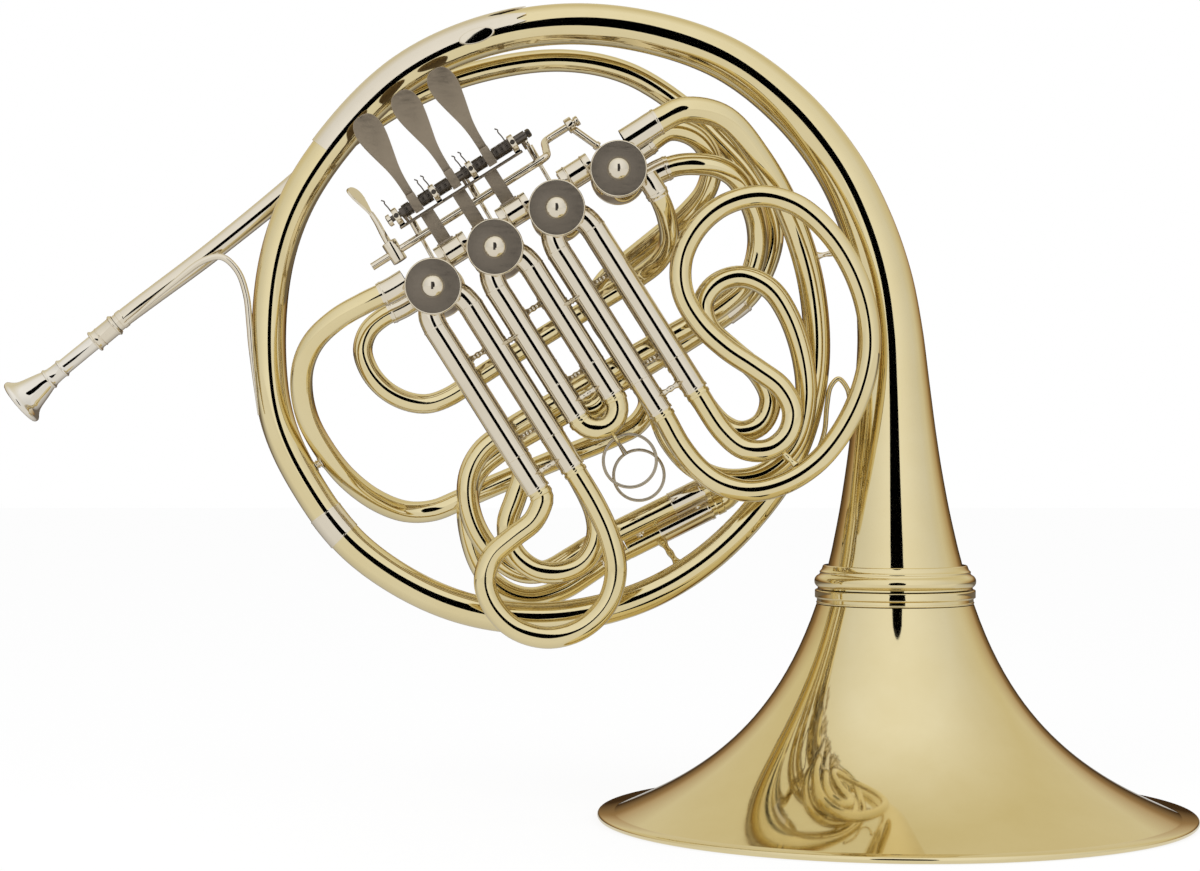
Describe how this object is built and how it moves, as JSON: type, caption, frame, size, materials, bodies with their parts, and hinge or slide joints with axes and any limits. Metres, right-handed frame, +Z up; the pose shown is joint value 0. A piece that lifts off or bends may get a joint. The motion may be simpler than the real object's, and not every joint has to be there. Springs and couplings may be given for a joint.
{
  "type": "french horn",
  "caption": "Full double french horn standing on its bell: rotary valves with finger and thumb levers, pull-out slides, leadpipe and mouthpiece.",
  "frame": {"origin": "under the middle of the horn's overall box, on the plane that the bell rim stands on", "axes": "+Z up along the bell's axis, +X from the mouthpiece towards the bell, -Y towards the valve caps"},
  "size_m": [0.6179, 0.31, 0.4233],
  "materials": {
    "brass": "lacquered yellow brass, polished",
    "nickel": "nickel silver, polished",
    "satin": "nickel silver, satin grey",
    "silver": "silver plated, polished",
    "steel": "bare steel, dull"
  },
  "bodies": {
    "horn": {"receiver": "nickel", "leadpipe": "nickel", "leadpipe_stay": "nickel", "tail_ferrule": "nickel", "guard_plate": "nickel", "main_legs": "nickel", "lever_bridge": "nickel", "ring_stay_left": "nickel", "valve_casing_1": "nickel", "valve_casing_2": "nickel", "valve_casing_3": "nickel", "valve_casing_4": "nickel", "f_legs_1": "nickel", "f_legs_2": "nickel", "f_legs_3": "nickel", "flat_legs_1": "nickel", "flat_legs_2": "nickel", "flat_legs_3": "nickel", "valve_cap_1": "satin", "valve_cap_2": "satin", "valve_cap_3": "satin", "valve_cap_4": "satin", "lever_axle": "steel", "lever_spring_1": "steel", "lever_spring_2": "steel", "lever_spring_3": "steel", "bell_ring_upper": "brass", "bell_tail": "brass", "bell_branch": "brass", "leadpipe_branch": "brass", "left_branch": "brass", "middle_branch": "brass", "rear_branch": "brass", "ring_stay_bottom": "brass", "hand_hook": "brass"},
    "bell": {"bell_flare": "brass", "bell_ring_lower": "brass"},
    "mouthpiece": {"mouthpiece": "silver"},
    "f_slide_1": {"f_slide_1": "brass"},
    "flat_slide_1": {"flat_slide_1": "brass"},
    "f_slide_2": {"f_slide_2": "brass"},
    "flat_slide_2": {"flat_slide_2": "brass"},
    "f_slide_3": {"f_slide_3": "brass"},
    "flat_slide_3": {"flat_slide_3": "brass"},
    "main_slide": {"main_slide": "brass"},
    "front_ring": {"pull_ring_1": "nickel"},
    "back_ring": {"pull_ring_2": "nickel"},
    "rotor_1": {"valve_rotor_1": "brass"},
    "link_1": {"valve_link_1": "nickel"},
    "rotor_2": {"valve_rotor_2": "brass"},
    "link_2": {"valve_link_2": "nickel"},
    "rotor_3": {"valve_rotor_3": "brass"},
    "link_3": {"valve_link_3": "nickel"},
    "rotor_4": {"valve_rotor_4": "brass"},
    "link_4": {"valve_link_4": "nickel"},
    "lever_1": {"finger_lever_1": "satin"},
    "lever_2": {"finger_lever_2": "satin"},
    "lever_3": {"finger_lever_3": "satin"},
    "thumb_lever": {"thumb_lever": "nickel"}
  },
  "joints": [
    {"name": "bell_screw", "type": "hinge", "parent": "horn", "child": "bell", "pos_m": [0.1534, 0, 0.118], "axis": [0, 0, 1], "range_deg": [0, 300]},
    {"name": "mouthpiece_pull", "type": "slide", "parent": "horn", "child": "mouthpiece", "axis": [-0.7732, 0, -0.6342], "range_m": [0, 0.03]},
    {"name": "f_slide_1_pull", "type": "slide", "parent": "horn", "child": "f_slide_1", "axis": [0.5344, 0, -0.8453], "range_m": [0, 0.03]},
    {"name": "f_slide_2_pull", "type": "slide", "parent": "horn", "child": "f_slide_2", "axis": [0.5344, 0, -0.8453], "range_m": [0, 0.03]},
    {"name": "f_slide_3_pull", "type": "slide", "parent": "horn", "child": "f_slide_3", "axis": [0.5344, 0, -0.8453], "range_m": [0, 0.03]},
    {"name": "flat_slide_1_pull", "type": "slide", "parent": "horn", "child": "flat_slide_1", "axis": [0.5344, 0, -0.8453], "range_m": [0, 0.03]},
    {"name": "flat_slide_2_pull", "type": "slide", "parent": "horn", "child": "flat_slide_2", "axis": [0.5344, 0, -0.8453], "range_m": [0, 0.03]},
    {"name": "flat_slide_3_pull", "type": "slide", "parent": "horn", "child": "flat_slide_3", "axis": [0.5344, 0, -0.8453], "range_m": [0, 0.025]},
    {"name": "main_slide_pull", "type": "slide", "parent": "horn", "child": "main_slide", "axis": [0.8965, 0, 0.4431], "range_m": [-0.005, 0.02]},
    {"name": "front_ring_swing", "type": "hinge", "parent": "f_slide_2", "child": "front_ring", "pos_m": [0.00771, -0.03, 0.19754], "axis": [-0.8453, 0, -0.5344], "range_deg": [-6, 75]},
    {"name": "back_ring_swing", "type": "hinge", "parent": "flat_slide_2", "child": "back_ring", "pos_m": [0.00157, -0.015, 0.20726], "axis": [0.8453, 0, 0.5344], "range_deg": [-6, 25]},
    {"name": "rotor_1_turn", "type": "hinge", "parent": "horn", "child": "rotor_1", "pos_m": [-0.0844, 0, 0.274], "axis": [0, 1, 0], "range_deg": [0, 90]},
    {"name": "rotor_2_turn", "type": "hinge", "parent": "horn", "child": "rotor_2", "pos_m": [-0.05313, 0, 0.29377], "axis": [0, 1, 0], "range_deg": [0, 90]},
    {"name": "rotor_3_turn", "type": "hinge", "parent": "horn", "child": "rotor_3", "pos_m": [-0.02185, 0, 0.31354], "axis": [0, 1, 0], "range_deg": [0, 90]},
    {"name": "rotor_4_turn", "type": "hinge", "parent": "horn", "child": "rotor_4", "pos_m": [0.00942, 0, 0.33331], "axis": [0, 1, 0], "range_deg": [0, 90]},
    {"name": "lever_1_press", "type": "hinge", "parent": "horn", "child": "lever_1", "pos_m": [-0.10175, -0.02, 0.31248], "axis": [-0.8453, 0, -0.5344], "range_deg": [0, 18], "stiffness_Nm_per_rad": 0.15, "springref_deg": -28.65},
    {"name": "link_1_swing", "type": "hinge", "parent": "lever_1", "child": "link_1", "pos_m": [-0.10014, 0.0185, 0.3135], "axis": [-0.8453, 0, -0.5344], "range_deg": [-18, 0]},
    {"name": "lever_2_press", "type": "hinge", "parent": "horn", "child": "lever_2", "pos_m": [-0.07123, -0.02, 0.33177], "axis": [-0.8453, 0, -0.5344], "range_deg": [0, 18], "stiffness_Nm_per_rad": 0.15, "springref_deg": -28.65},
    {"name": "link_2_swing", "type": "hinge", "parent": "lever_2", "child": "link_2", "pos_m": [-0.06963, 0.0185, 0.33279], "axis": [-0.8453, 0, -0.5344], "range_deg": [-18, 0]},
    {"name": "lever_3_press", "type": "hinge", "parent": "horn", "child": "lever_3", "pos_m": [-0.03996, -0.02, 0.35155], "axis": [-0.8453, 0, -0.5344], "range_deg": [0, 18], "stiffness_Nm_per_rad": 0.15, "springref_deg": -28.65},
    {"name": "link_3_swing", "type": "hinge", "parent": "lever_3", "child": "link_3", "pos_m": [-0.03835, 0.0185, 0.35256], "axis": [-0.8453, 0, -0.5344], "range_deg": [-18, 0]},
    {"name": "thumb_press", "type": "hinge", "parent": "horn", "child": "thumb_lever", "pos_m": [-0.07379, -0.0085, 0.31336], "axis": [-0.8453, 0, -0.5344], "range_deg": [0, 25], "stiffness_Nm_per_rad": 0.15, "springref_deg": -28.65},
    {"name": "link_4_swing", "type": "hinge", "parent": "thumb_lever", "child": "link_4", "pos_m": [-0.01574, 0.0175, 0.36189], "axis": [-0.8453, 0, -0.5344], "range_deg": [-25, 0]}
  ],
  "couplings": [
    {"joint": "rotor_1_turn", "follows": "lever_1_press", "ratio": 5},
    {"joint": "link_1_swing", "follows": "lever_1_press", "ratio": -1},
    {"joint": "rotor_2_turn", "follows": "lever_2_press", "ratio": 5},
    {"joint": "link_2_swing", "follows": "lever_2_press", "ratio": -1},
    {"joint": "rotor_3_turn", "follows": "lever_3_press", "ratio": 5},
    {"joint": "link_3_swing", "follows": "lever_3_press", "ratio": -1},
    {"joint": "rotor_4_turn", "follows": "thumb_press", "ratio": 3.6},
    {"joint": "link_4_swing", "follows": "thumb_press", "ratio": -1}
  ]
}
